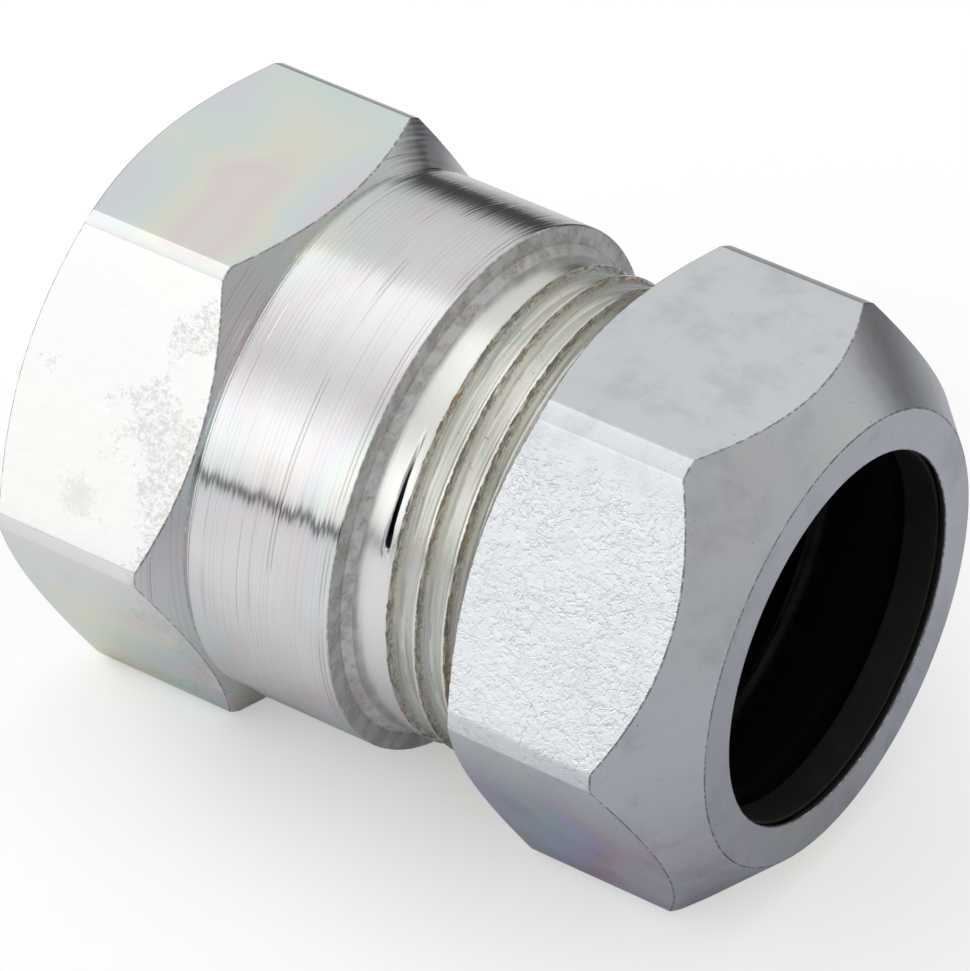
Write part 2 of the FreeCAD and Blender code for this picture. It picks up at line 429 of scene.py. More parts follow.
def turnedZinc(name, look):
    recipe = Finish(name, look)
    drift = recipe.pattern("drift") * look["driftShare"]
    feed = ((recipe.along / look["feed"] + drift) * (2 * math.pi)).maths("SINE")
    single, broad, patch = (recipe.pattern(kind) for kind in ("single", "broad", "patch"))
    lanes = recipe.noise(recipe.combine(recipe.along * look["lanes"], 0.0, 0.0), 1.0, 0.0)
    groove = 1.0 - (lanes - look["laneLevel"]).maths("ABSOLUTE").past("grooveEdge")
    groove = groove * patch.past("groovePatch")
    height = feed * look["feedHeight"] + single * look["lineHeight"] - groove * look["grooveHeight"]
    # each feed line mirrors the light a little higher or lower than the next
    sway = (single - 0.5) * (0.5 + patch.past("patchFrom")) + (broad - 0.5) * look["broadShare"]
    line = feed.past("feedFrom") * single.past("lineFrom")
    tone = recipe.stained(rainbow(recipe, look["colour"]), line, "line")
    tone = wornEdge(recipe, recipe.stained(tone, groove, "groove"))
    return recipe.finish(tone, recipe.rough(single), height, sway * look["lineSway"])


drawnLook = {
    "colour": (0.90, 0.905, 0.885, 1), "roughness": (0.25, 0.1),
    "rainbow": {"faces": (0.85, 0.12, 0.6), "scale": 0.055, "shift": (10, 4, 7)},
    "grain": (1.3, 3.0, 0.6), "grainStretch": (0.35, 1.6, 1.6), "grainHeight": 0.005,
    "wave": (0.35, 2.0), "waveHeight": 0.015, "worn": (0.2, 2.0), "wornFrom": (0.52, 0.74),
    "rubbedFrom": (-26.0, -17.0),  # the rubbed part, towards the collar
    "rubbedShare": 0.22,
    "cleanFrom": (21.0, 24.5),  # heights above the axis
    "crumbs": (2.0, 4.0, 0.75), "crumbsFrom": (0.4, 0.64), "rub": ((0.58, 0.575, 0.56, 1), 0.6),
    "rubFade": (0.0, 0.5), "rubHeight": 0.006, "smudge": ((0.58, 0.575, 0.56, 1), 0.35),
    "smudgeAt": (-26.3, -26.1, 4.7), "smudgeReach": (0.4, 2.4), "smudgeRagged": 6.0,
    "edge": ((0.22, 0.22, 0.22, 1), 0.9),
}


def drawnZinc(name, look):
    recipe = Finish(name, look)
    grain = recipe.pattern("grain", recipe.mapped(recipe.spot, Scale=look["grainStretch"]))
    worn = recipe.pattern("worn") + recipe.x.past("rubbedFrom") * look["rubbedShare"]
    worn = worn.past("wornFrom") * (1.0 - recipe.z.past("cleanFrom"))
    crumbs = recipe.pattern("crumbs")
    rub = (crumbs - (1.0 - worn) * 0.25).past("crumbsFrom") * worn.past("rubFade")
    height = grain * look["grainHeight"] - rub * look["rubHeight"]
    height = recipe.pattern("wave") * look["waveHeight"] + height
    tone = recipe.stained(rainbow(recipe, look["colour"]), rub, "rub")
    ends = {0: recipe.spot, 1: look["smudgeAt"]}
    beside = recipe.node("ShaderNodeVectorMath", {"operation": "DISTANCE"}, ends, "Value")
    smudge = 1.0 - (beside + (crumbs - 0.5) * look["smudgeRagged"]).past("smudgeReach")
    tone = wornEdge(recipe, recipe.stained(tone, smudge, "smudge"))
    return recipe.finish(tone, recipe.rough(grain), height)


faceLook = {
    "colour": (0.75, 0.745, 0.74, 1), "roughness": (0.575, 0.15), "sockets": {"Metallic": 0.75},
    "lines": ((5.0, 2.0), 2.0, 0.6), "lineHeight": 0.0048, "cloud": (0.5, 3.0, 0.6),
    "stain": ((0.50, 0.45, 0.40, 1), 0.5), "stainFrom": (0.4, 0.6), "specks": (2.6, 4.0, 0.7),
    "speck": ((0.14, 0.12, 0.11, 1), 0.5), "speckFrom": (0.5, 0.7), "speckWhere": (0.35, 0.6),
    "speckHeight": 0.012, "edge": ((0.14, 0.12, 0.11, 1), 0.25),
}


def facedZinc(name, look):
    recipe = Finish(name, look)
    cloud = recipe.pattern("cloud")
    stain = cloud.past("stainFrom")
    speck = recipe.pattern("specks").past("speckFrom") * cloud.past("speckWhere")
    tone = recipe.stained(recipe.stained(look["colour"], stain, "stain"), speck, "speck")
    height = recipe.pattern("lines") * look["lineHeight"] - speck * look["speckHeight"]
    return recipe.finish(wornEdge(recipe, tone), recipe.rough(stain), height)


threadLook = {
    "shank": (0.84, 0.84, 0.815, 1), "colour": (0.74, 0.72, 0.67, 1),
    # right: a lighter tone on the flank facing the nut, near the crest: painted light
    "right": (0.90, 0.88, 0.82, 1), "crest": (0.78, 0.78, 0.755, 1),
    "green": ((0.70, 0.71, 0.65, 1), 0.8), "streak": ((0.30, 0.34, 0.29, 1), 0.4),
    "line": ((0.30, 0.34, 0.29, 1), 0.75), "dirt": (0.22, 0.195, 0.15, 1),
    # the slot's near black is painted shade inside the narrow groove
    "rust": (0.46, 0.27, 0.09, 1), "slot": ((0.012, 0.012, 0.018, 1), 1.0),
    "lines": ((7.0, 0.5), 2.0, 0.6), "cloud": ((0.4, 6.0), 2.0), "smears": ((3.0, 16.0), 2.0, 0.6),
    "streaks": ((10.0, 2.2), 3.0, 0.65), "waver": ((5.5, 0.7), 1.5, 0.7),
    "crumbs": (2.8, 3.0, 0.65),
    # distances from the crest, in pitches
    "grooveFrom": (0.03, 0.06), "rightLightUpTo": (0.22, 0.42), "leftFrom": (0.02, 0.05), "leftUpTo": (0.2, 0.36),
    "dirtFrom": (0.03, 0.06), "dirtUpTo": (0.09, 0.16), "ragged": (0.14, 0.2),
    # levels of a mark or a noise
    "sideFrom": (0.2, 0.8), "slotShadeFrom": (0.15, 0.4), "greenFrom": (0.42, 0.58), "streakFrom": (0.5, 0.62),
    "lineFrom": (0.5, 0.55), "dirtWhere": (0.4, 0.6), "fallenFrom": (0.62, 0.7), "fallenWhere": (0.5, 0.62),
    "rustFrom": (0.44, 0.56), "rustWhere": (0.5, 0.58), "dirtShare": (0.3, 0.6), "fallenShare": 0.6,
    "roughness": (0.22, 0.1), "grooveRough": 0.14, "dirtRough": 0.4, "lineHeight": 0.006,
    "dirtHeight": 0.05, "lineSway": 0.1,
}


def threadZinc(name, look):
    recipe = Finish(name, look)
    marks = ("crestDistance", "crestSide", "cut", "slot")
    distance, side, cut, slot = (recipe.attribute(mark) for mark in marks)
    kinds = ("lines", "cloud", "smears", "streaks", "waver", "crumbs")
    lines, cloud, smears, streaks, waver, crumbs = (recipe.pattern(kind) for kind in kinds)
    groove = distance.past("grooveFrom") * cut
    right, left = (way.past("sideFrom") for way in (side, side * -1.0))
    tone = recipe.stained(look["colour"], cloud.past("greenFrom"), "green")
    # painted light: the flank facing the nut is painted lighter near the crest
    tone = recipe.mix(right * (1.0 - distance.past("rightLightUpTo")), tone, look["right"])
    tone = recipe.mix(groove, recipe.mix(cut, look["shank"], look["crest"]), tone)
    tone = recipe.stained(tone, streaks.past("streakFrom") * groove, "streak")
    flank = distance.past("leftFrom") * (1.0 - distance.past("leftUpTo")) * left * cut
    tone = recipe.stained(tone, lines.past("lineFrom") * flank, "line")
    crumbShare, smearShare = look["ragged"]
    ragged = distance + (crumbs - 0.5) * crumbShare + (smears - 0.5) * smearShare
    least, more = look["dirtShare"]
    dirt = ragged.past("dirtFrom") * (1.0 - ragged.past("dirtUpTo")) * right * cut
    dirt = dirt * (least + smears.past("dirtWhere") * more)
    fallen = crumbs.past("fallenFrom") * smears.past("fallenWhere") * groove
    dirt = dirt.maths("MAXIMUM", fallen * look["fallenShare"])
    rust = crumbs.past("rustFrom") * cloud.past("rustWhere")
    tone = recipe.mix(dirt, tone, recipe.mix(rust, look["dirt"], look["rust"]))
    # painted shade: the slot is painted near black for the shade inside it
    tone = recipe.stained(tone, slot.past("slotShadeFrom"), "slot")
    height = lines * look["lineHeight"] + dirt * crumbs * look["dirtHeight"]
    rough = recipe.rough(lines) + groove * look["grooveRough"] + dirt * look["dirtRough"]
    return recipe.finish(tone, rough, height, (waver - 0.5) * look["lineSway"], 1.0 - dirt * 0.9)


satinLook = {
    "colour": (0.74, 0.765, 0.785, 1), "roughness": (0.3, 0.1),
    "rainbow": {"faces": (0.1, 0.1, 0.9), "scale": 0.05, "shift": (5, 9, 1)},
    # low: a purplish tint on the lower faces, partly the film's colour and partly painted shade of the
    # underside
    "low": ((0.74, 0.71, 0.78, 1), 1.0),
    "lowUpTo": (-15.0, -2.0),  # heights above the axis, as in the next two
    "upperDents": (19.0, 23.5), "lowerDents": (-16.0, -4.0), "upperShare": 0.85,
    "dented": ((0.83, 0.86, 0.89, 1), 0.7), "bend": (0.5, 1.0), "bendBy": 1.4,
    "dents": (1.0, 3.0, 0.65),
    "dentShapes": ({"Scale": (1.1, 2.1, 1.5)}, {"Scale": (2.1, 1.1, 1.4), "Rotation": (0.5, 0.2, 0.9)}),
    "dentFrom": (0.5, 0.72), "dentHeight": 0.034, "strokes": (0.9, 1.0, 0.4),
    "strokeShape": {"Rotation": (0.4, 0.5, 0.3), "Scale": (1.0, 1.5, 1.2)},
    "strokeWidth": (0.0, 0.05), "strokeGaps": (1.53, 0.0), "strokeFrom": (0.55, 0.6),
    "crowd": (0.22, 2.0), "crowdFrom": (0.3, 0.6), "crowdShare": (0.35, 0.65),
    "lumps": (0.8, 3.0, 0.55), "lumpHeight": 0.04, "grain": (3.2, 3.0, 0.65), "grainHeight": 0.012,
    "specks": (3.0, 2.0), "speckFrom": (0.68, 0.74), "speckArea": (0.12, 1.0),
    "speckWhere": (0.5, 0.6), "speck": ((0.16, 0.16, 0.2, 1), 0.6), "cloud": (0.2, 4.0, 0.65),
    "cloudFrom": (0.45, 0.7),
    "cloudShare": (0.18, 0.13),  # on smooth metal, and less by this where it is dented
    "edge": ((0.22, 0.21, 0.21, 1), 0.95),
}
plainSatinLook = {
    **satinLook,
    "rainbow": {**satinLook["rainbow"], "faces": (0.1, 0.1, 0.2)},
    # a fainter tint on the lower faces, as above
    "low": ((0.75, 0.76, 0.80, 1), 1.0),
}


def satinZinc(name, look, dents):
    # the flats beside the lower corners are the most dented
    recipe = Finish(name, look)
    bent = recipe.scaledSum(recipe.pattern("bend").out("Color"), (look["bendBy"],) * 3, recipe.spot)
    # short curved strokes: stretches of a noise's middle contour
    strokeSpot = recipe.mapped(recipe.spot, **look["strokeShape"])
    contour = (recipe.pattern("strokes", strokeSpot) - 0.5).maths("ABSOLUTE")
    hits = (1.0 - contour.past("strokeWidth")) * recipe.pattern("strokeGaps", strokeSpot).past("strokeFrom")
    for shape in look["dentShapes"]:
        hits = hits + recipe.pattern("dents", recipe.mapped(bent, **shape)).past("dentFrom")
    least, more = look["crowdShare"]
    hits = hits * (least + recipe.pattern("crowd").past("crowdFrom") * more)
    share = 1.0 - recipe.z.past("upperDents") * look["upperShare"]
    share = share * recipe.z.past("lowerDents") * dents
    grain = recipe.pattern("grain")
    height = recipe.pattern("lumps", bent) * look["lumpHeight"] - hits * look["dentHeight"]
    height = grain * look["grainHeight"] * (0.5 + share) + height * share
    specks = recipe.pattern("specks").past("speckFrom") * recipe.pattern("speckArea").past("speckWhere")
    smooth, dented = look["cloudShare"]
    cloud = recipe.pattern("cloud").past("cloudFrom") * (smooth - share.clamped() * dented)
    tone = recipe.stained(look["colour"], share.clamped(), "dented")
    # the lower faces get a purplish, slightly darker tint: partly the film's colour, partly painted shade of
    # the underside
    tone = recipe.stained(tone, 1.0 - recipe.z.past("lowUpTo"), "low")
    tone = rainbow(recipe, recipe.mix(cloud, tone, look["speck"][0]))
    tone = wornEdge(recipe, recipe.stained(tone, specks, "speck"))
    return recipe.finish(tone, recipe.rough(grain), height)


boreLook = {
    "colour": (0.42, 0.42, 0.41, 1), "stain": ((0.3, 0.29, 0.27, 1), 1.0), "stainFrom": (0.35, 0.7),
    "roughness": (0.475, 0.15), "roughBy": "cloud", "cloud": (0.3, 2.0),
    "grain": ((4.0, 1.4), 2.0, 0.6), "grainHeight": 0.006,
}
# painted shade: the zinc-plated washer deep in the mouth is painted near black
paintedShadeZincLook = {
    **boreLook,
    "colour": (0.012, 0.012, 0.013, 1), "stain": ((0.006, 0.006, 0.006, 1), 1.0),
    "roughness": (0.675, 0.15),
}
# painted shade: the body's zinc socket and seat inside the nut are painted near black
socketLook = {
    **paintedShadeZincLook,
    "colour": (0.01, 0.01, 0.011, 1), "stain": ((0.006, 0.006, 0.005, 1), 1.0),
}
rubberLook = {
    **boreLook,
    "colour": (0.009, 0.009, 0.012, 1), "stain": ((0.016, 0.016, 0.021, 1), 0.6),
    "stainFrom": (0.45, 0.75), "roughness": (0.6, 0.2),
    "sockets": {"Metallic": 0.0, "Specular IOR Level": 0.4}, "cloud": (0.5, 3.0, 0.6),
    "grain": (7.0, 2.0),
}
# painted shade: the same rubber, painted darker and with less sheen where it lies deep in the mouth
rubberPaintedShadeLook = {
    **rubberLook,
    "colour": (0.001, 0.001, 0.001, 1), "stain": ((0.003, 0.003, 0.003, 1), 0.6),
    "roughness": (0.8, 0.2), "sockets": {"Metallic": 0.0, "Specular IOR Level": 0.1},
}
steelLook = {
    **boreLook,
    "colour": (0.008, 0.008, 0.009, 1), "stain": ((0.02, 0.02, 0.022, 1), 0.5),
    "stainFrom": (0.52, 0.75), "roughness": (0.55, 0.1), "roughBy": "grain",
    "cloud": (0.8, 3.0, 0.6), "grain": (6.0, 2.0),
}


def plainFinish(name, look):
    recipe = Finish(name, look)
    patterns = {kind: recipe.pattern(kind) for kind in ("cloud", "grain")}
    tone = recipe.stained(look["colour"], patterns["cloud"].past("stainFrom"), "stain")
    rough = recipe.rough(patterns[look["roughBy"]])
    return recipe.finish(tone, rough, patterns["grain"] * look["grainHeight"])


finishes = {
    "drawn": drawnZinc("drawnZinc", drawnLook),
    "turned": turnedZinc("turnedZinc", turnedLook),
    "faced": facedZinc("facedZinc", faceLook),
    "thread": threadZinc("threadZinc", threadLook),
    "bore": plainFinish("boredZinc", boreLook),
    "socket": plainFinish("socketPaintedShade", socketLook),
    "greased": plainFinish("zincWithPaintedShade", paintedShadeZincLook),
    "dented": satinZinc("dentedZinc", satinLook, 1.0),
    "satin": satinZinc("satinZinc", plainSatinLook, 0.12),
    "rubber": plainFinish("blackRubber", rubberLook),
    "deepRubber": plainFinish("deepRubber", rubberPaintedShadeLook),
    "steel": plainFinish("springSteel", steelLook),
}
print("finishes mixed:", len(finishes))


# Turned blanks

# Angles round the axis in degrees, close together where a flat meets the turned corner strip
hexagonRound = {
    "flatColumns": 27,
    "flatMargin": 0.6,
    "edgeColumns": np.array([-0.28, -0.13, 0.0, 0.13, 0.28, 0.7]),
    "sector": 60,
    "softness": 0.03,  # rounds a flat into the corner strip
}
roundCount = 240
roundColumns = np.arange(roundCount) * (2 * math.pi / roundCount)
# Each rounding gets a guard row on both sides that keeps the shading of the wide faces even.
roundingLook = {"steps": 3, "longest": 0.35, "guardShare": 0.5, "guard": 0.1}


def hexagonColumns(corner, look=hexagonRound):
    half = math.degrees(math.acos(coupling["flat"] / corner))
    flatEnd = half - look["flatMargin"]
    flat = np.linspace(-flatEnd, flatEnd, look["flatColumns"])
    edge = half + look["edgeColumns"]
    middle = look["sector"] / 2
    sector = np.concatenate([-edge[::-1], flat, edge, [middle]])
    return np.radians(np.concatenate([middle + look["sector"] * n + sector for n in range(6)]))


def hexagonRadius(columns, corner):
    turn = np.mod(columns, math.pi / 3) - math.pi / 6
    flat = coupling["flat"] / np.cos(turn)
    return (flat + corner) / 2 - np.sqrt(((flat - corner) / 2) ** 2 + hexagonRound["softness"] ** 2)


def roundCorners(profile, columns, look=roundingLook):
    # each column is a closed line of (station, radius) corners, and each corner gets its own rounding
    count = len(profile)
    steps = look["steps"]
    corners = np.zeros((count, len(columns), 2))
    for index, (station, radius, rounding, finish) in enumerate(profile):
        corners[index, :, 0] = station
        corners[index, :, 1] = radius
    rows, bands, edges = [], [], []
    for index, (*_, rounding, finish) in enumerate(profile):
        here = corners[index]
        if rounding == 0:
            rows.append(here)
            bands.append(finish)
            edges.append(0)
            continue
        before = corners[index - 1] - here
        after = corners[(index + 1) % count] - here
        beforeLength = np.linalg.norm(before, axis=1, keepdims=True)
        afterLength = np.linalg.norm(after, axis=1, keepdims=True)
        before, after = before / beforeLength, after / afterLength
        half = np.arccos(np.clip((before * after).sum(1, keepdims=True), -1, 1)) / 2
        longest = look["longest"] * np.minimum(beforeLength, afterLength)
        reach = np.minimum(rounding / np.tan(half), longest)
        inward = (before + after) / np.linalg.norm(before + after, axis=1, keepdims=True)
        middle = here + inward * reach * np.tan(half) / np.sin(half)
        guard = np.minimum(reach * look["guardShare"], look["guard"])
        lastFinish = profile[index - 1][3]
        rows.append(here + before * (reach + guard))
        bands.append(lastFinish)
        start, end = here + before * reach - middle, here + after * reach - middle
        for step in range(steps + 1):
            share = step / steps
            spread = math.pi - 2 * half
            arm = (start * np.sin((1 - share) * spread) + end * np.sin(share * spread)) / np.sin(spread)
            rows.append(middle + arm)
            bands.append(lastFinish if step < steps / 2 else finish)
        rows.append(here + after * (reach + guard))
        bands.append(finish)
        edges += [0] + [1] * (steps + 1) + [0]
    return np.array(rows), bands, edges


def threadRows(first, last, phases):
    turns = [whole + phase for whole in range(math.floor(first) - 1, math.ceil(last) + 1) for phase in phases]
    return np.array(sorted(turns))


class Blank:
    # collects rings of points round the axis and the faces between them
    def __init__(self, name, columns):
        self.name = name
        self.columns = columns
        self.points = []
        self.marks = {"edge": [], "turn": [], "round": [], "threadPoint": []}
        self.faces, self.faceFinish, self.faceThread = [], [], []
        self.finishNames = []

    def slotOf(self, finish):
        if finish not in self.finishNames:
            self.finishNames.append(finish)
        return self.finishNames.index(finish)

    def addRows(self, stations, radii, angles, edge, turn=0.0, thread=0.0):
        start = sum(len(block) for block in self.points)
        heights = radii * np.sin(angles) + coupling["axisHeight"]
        place = np.stack([fromStation(stations), radii * np.cos(angles), heights], -1)
        self.points.append(place.reshape(-1, 3) * mm)
        marks = {"edge": edge, "turn": turn, "round": angles / (2 * math.pi), "threadPoint": thread}
        for name, mark in marks.items():
            self.marks[name].append((mark + np.zeros_like(stations)).reshape(-1))
        return start

    def revolve(self, profile, look):
        # profile: (station, radius, rounding, finish of the face that follows), sizes by value or by name
        # a finish of None leaves a gap for a thread
        corners = []
        for *sizes, finish in profile:
            corners.append((*(look[size] if isinstance(size, str) else size for size in sizes), finish))
        rows, bands, edges = roundCorners(corners, self.columns)
        angles = self.columns[None, :] + np.zeros_like(rows[..., 0])
        start = self.addRows(rows[..., 0], rows[..., 1], angles, np.array(edges)[:, None])
        wide = len(self.columns)
        for index, finish in enumerate(bands):
            if finish is None:
                continue
            below, above = start + index * wide, start + (index + 1) % len(bands) * wide
            for column in range(wide):
                following = (column + 1) % wide
                self.faces.append((below + column, above + column, above + following, below + following))
            self.faceFinish += [self.slotOf(finish)] * wide
            self.faceThread += [0] * wide

    def threadStrip(self, number, thread, finish):
        # rows that the thread cutter below bends into the thread
        # the last column meets the first one a pitch further on
        first = (thread["start"] - thread["firstCrest"]) / thread["pitch"] - 1
        last = (thread["end"] - thread["firstCrest"]) / thread["pitch"]
        turns = threadRows(first, last, thread["rowPhases"])
        angles = np.append(self.columns, self.columns[0] + 2 * math.pi)[None, :] + np.zeros((len(turns), 1))
        turn = turns[:, None] + np.zeros_like(angles)
        stations = thread["firstCrest"] + thread["pitch"] * (turn + angles / (2 * math.pi))
        start = self.addRows(stations, np.full_like(stations, thread["crestRadius"]), angles, 0, turn, number)
        wide = angles.shape[1]
        for row in range(len(turns) - 1):
            for column in range(wide - 1):
                corner = start + row * wide + column
                self.faces.append((corner, corner + wide, corner + wide + 1, corner + 1))
        count = (len(turns) - 1) * (wide - 1)
        self.faceFinish += [self.slotOf(finish)] * count
        self.faceThread += [number] * count

    def build(self):
        mesh = bpy.data.meshes.new(self.name)
        mesh.from_pydata(np.concatenate(self.points), [], self.faces)
        for finish in self.finishNames:
            mesh.materials.append(finishes[finish])
        mesh.polygons.foreach_set("material_index", self.faceFinish)
        for name, blocks in self.marks.items():
            values = np.concatenate(blocks).astype(np.float32)
            mesh.attributes.new(name, "FLOAT", "POINT").data.foreach_set("value", values)
        mesh.attributes.new("threadFace", "INT", "FACE").data.foreach_set("value", self.faceThread)
        made = bpy.data.objects.new(self.name, mesh)
        scene.collection.objects.link(made)
        return made


# Thread cutter
# Its inputs, and the entries of a thread's dictionary that fill them

stationInputs = {"Start": "start", "End": "end", "First Crest": "firstCrest"}
lengthInputs = {
    "Pitch": "pitch", "Crest Radius": "crestRadius", "Root Radius": "rootRadius", "Wander": "wander",
    "Start Radius": "startRadius", "End Radius": "endRadius", "Fade Length": "fadeLength",
}
shareInputs = {
    "Crest Share": "crestShare", "Root Share": "rootShare", "Hollow": "hollow", "Side": "side",
    "Start Slope": "startSlope", "End Slope": "endSlope", "Start Lap": "startLap", "Fade Laps": "fadeLaps",
}
slotInputs = {f"Slot {name.title()}": name for name in ("start", "end", "middle", "width", "depth")}
noSlot = {"start": -90, "end": -89, "middle": 0, "width": 1, "depth": 0}
cutterLook = {
    "slotTip": 0.35,  # share of the slot's width where it starts
    "guard": 0.001,  # metres at both ends that fade to plain
    "sideReach": 40.0,
    "waverAlong": 900,
    "waverAround": 14,
}


def threadCutter(look):
    tree = bpy.data.node_groups.new("threadCutter", "GeometryNodeTree")
    face = tree.interface
    face.new_socket(name="Geometry", in_out="INPUT", socket_type="NodeSocketGeometry")
    sizes = [*stationInputs, *lengthInputs, *shareInputs, *slotInputs, "Axis Height"]
    for name in sizes:
        face.new_socket(name=name, in_out="INPUT", socket_type="NodeSocketFloat")
    face.new_socket(name="Number", in_out="INPUT", socket_type="NodeSocketInt")
    face.new_socket(name="Seed", in_out="INPUT", socket_type="NodeSocketInt")
    face.new_socket(name="Finish", in_out="INPUT", socket_type="NodeSocketMaterial")
    face.new_socket(name="Geometry", in_out="OUTPUT", socket_type="NodeSocketGeometry")
    recipe = Recipe(tree)
    given = recipe.node("NodeGroupInput")
    value = {name: given.out(name) for name in (*sizes, "Number", "Seed", "Finish")}

    def attribute(name, kind="FLOAT"):
        return recipe.node("GeometryNodeInputNamedAttribute", {"data_type": kind}, {"Name": name})

    def isNumber(mark):
        return (mark - value["Number"]).maths("ABSOLUTE").maths("LESS_THAN", 0.5)

    around = attribute("round")
    station = value["First Crest"] + value["Pitch"] * (attribute("turn") + around)
    station = station.maths("MAXIMUM", value["Start"]).maths("MINIMUM", value["End"])
    turn = (station - value["First Crest"]) / value["Pitch"] - around
    phase = turn - turn.maths("ROUND")
    fromCrest = phase.maths("ABSOLUTE")
    lap = turn.maths("FLOOR") + around  # laps along the groove
    crest, root = value["Crest Share"] / 2, value["Root Share"] / 2
    share = ((fromCrest - crest) / (0.5 - root - crest)).clamped()
    depth = 1.0 - (1.0 - share) ** value["Hollow"]
    runIn = ((lap - value["Start Lap"]) / value["Fade Laps"]).clamped()
    cut = runIn * ((value["End"] - station) / value["Fade Length"]).clamped()
    # a slot that widens along the first crest and ends at once
    along = (lap - value["Slot Start"]) / (value["Slot End"] - value["Slot Start"])
    slot = along.clamped() * (lap.maths("LESS_THAN", value["Slot End"]))
    slotWidth = value["Slot Width"] * (look["slotTip"] + slot * (1.0 - look["slotTip"]))
    slot = slot * (1.0 - ((phase - value["Slot Middle"]) / slotWidth) ** 2.0).clamped()
    groove = (depth * cut).maths("MAXIMUM", slot * value["Slot Depth"])
    radius = value["Crest Radius"] + (value["Root Radius"] - value["Crest Radius"]) * groove
    # the blank's own ends limit the thread: a cone at each end
    limitStart = value["Side"] * value["Start Radius"] + (station - value["Start"]) * value["Start Slope"]
    limitEnd = value["Side"] * value["End Radius"] + (value["End"] - station) * value["End Slope"]
    outward = (value["Side"] * radius).maths("MINIMUM", limitStart).maths("MINIMUM", limitEnd)
    ends = (station - value["Start"], value["End"] - station)
    startShare, endShare = ((away / look["guard"]).clamped() for away in ends)
    angle = around * (2 * math.pi)
    across, upward = angle.maths("COSINE"), angle.maths("SINE")
    waverPlace = (across * look["waverAround"], upward * look["waverAround"])
    waver = recipe.noise(recipe.combine(station * look["waverAlong"] + value["Seed"], *waverPlace), 1.0, 2.0)
    radius = (outward - waver * value["Wander"] * (startShare * endShare)) * value["Side"]
    place = recipe.combine(station, radius * across, radius * upward + value["Axis Height"])
    chosen = isNumber(attribute("threadPoint"))
    sockets = {"Geometry": given, "Selection": chosen, "Position": place}
    stored = recipe.node("GeometryNodeSetPosition", None, sockets)
    crestSide = (phase * look["sideReach"]).maths("MINIMUM", 1.0).maths("MAXIMUM", -1.0)
    marks = {"crestDistance": fromCrest, "crestSide": crestSide, "cut": cut, "slot": slot}
    for name, mark in marks.items():
        settings = {"data_type": "FLOAT", "domain": "POINT"}
        sockets = {"Geometry": stored, "Selection": chosen, "Name": name, "Value": mark}
        stored = recipe.node("GeometryNodeStoreNamedAttribute", settings, sockets)
    real = recipe.node("GeometryNodeRealizeInstances", None, {"Geometry": stored})
    threadFaces = isNumber(attribute("threadFace", "INT"))
    sockets = {"Geometry": real, "Selection": threadFaces, "Material": value["Finish"]}
    done = recipe.node("GeometryNodeSetMaterial", None, sockets)
    recipe.node("NodeGroupOutput", None, {"Geometry": done})
    return tree


cutterTree = threadCutter(cutterLook)


def cutThreads(blank, *threads):
    for number, (thread, finish) in enumerate(threads, 1):
        blank.threadStrip(number, thread, finish)
    made = blank.build()
    inputs = [item for item in cutterTree.interface.items_tree if item.in_out == "INPUT"]
    sockets = {item.name: item.identifier for item in inputs}
    for number, (thread, finish) in enumerate(threads, 1):
        cutter = made.modifiers.new("thread", "NODES")
        cutter.node_group = cutterTree
        for name, key in stationInputs.items():
            cutter[sockets[name]] = fromStation(thread[key]) * mm
        for name, key in lengthInputs.items():
            cutter[sockets[name]] = thread[key] * mm
        for name, key in shareInputs.items():
            cutter[sockets[name]] = float(thread[key])
        for name, key in slotInputs.items():
            cutter[sockets[name]] = float(thread.get("slot", noSlot)[key])
        cutter[sockets["Axis Height"]] = coupling["axisHeight"] * mm
        cutter[sockets["Number"]] = number
        cutter[sockets["Seed"]] = thread["seed"]
        cutter[sockets["Finish"]] = finishes[finish]
    return made


meshLook = {"weldWithin": 0.002, "sharpFrom": 34}  # millimetres, degrees


def finishMesh(made, look=meshLook):
    bpy.context.view_layer.update()
    graph = bpy.context.evaluated_depsgraph_get()
    bent = made.evaluated_get(graph)
    mesh = bpy.data.meshes.new_from_object(bent, preserve_all_data_layers=True, depsgraph=graph)
    made.modifiers.clear()
    rough = made.data
    made.data = mesh
    bpy.data.meshes.remove(rough)
    shell = bmesh.new()
    shell.from_mesh(mesh)
    bmesh.ops.remove_doubles(shell, verts=shell.verts, dist=look["weldWithin"] * mm)
    bmesh.ops.recalc_face_normals(shell, faces=shell.faces)
    openEdges = sum(1 for edge in shell.edges if not edge.is_manifold)
    for face in shell.faces:
        face.smooth = True
    shell.to_mesh(mesh)
    shell.free()
    mesh.set_sharp_from_angle(angle=math.radians(look["sharpFrom"]))
    mesh.update()
    triangles = sum(len(face.vertices) - 2 for face in mesh.polygons)
    print(made.name, "triangles", triangles, "open edges", openEdges)
    return made


# Coupling body

finePhases = [0.0, 0.045, 0.06, 0.075, 0.1, 0.13, 0.16, 0.19, 0.22, 0.255, 0.29, 0.33, 0.37, 0.42, 0.47]
bodyLook = {
    "corner": 28.4475,
    "endFace": 23.8,
    "endChamfer": 30.0,
    "hexagonLength": 20.25,
    "frontChamfer": 34.0,
    "collarStart": 20.6,
    "reliefRadius": 24.43,
    "collarRadius": 24.88,
    "shoulder": 35.65,
    "shankRadius": 22.4,
    "shoulderBevel": 0.8,
    "end": endsOf("coupling_body")[1],
    "endRadius": 20.9,
    "seatMouth": 19.565,
    "seatSmall": 17.85,
    "seatStart": 50.45,
    "socketRadius": 17.15,
    "stopStart": 20.0,
    "stopEnd": 25.0,
    "waterwayRadius": 13.6,
    "tappingRadius": 15.145,
    "tappingMouth": 16.745,
    "edge": 0.12,  # roundings from here on
    "arcEdge": 0.2,
    "reliefEdge": 0.05,
    "collarEdge": 0.15,
    "shoulderEdge": 0.18,
    "shoulderFoot": 0.3,
    "socketEdge": 0.1,
    "stopEdge": 0.2,
}
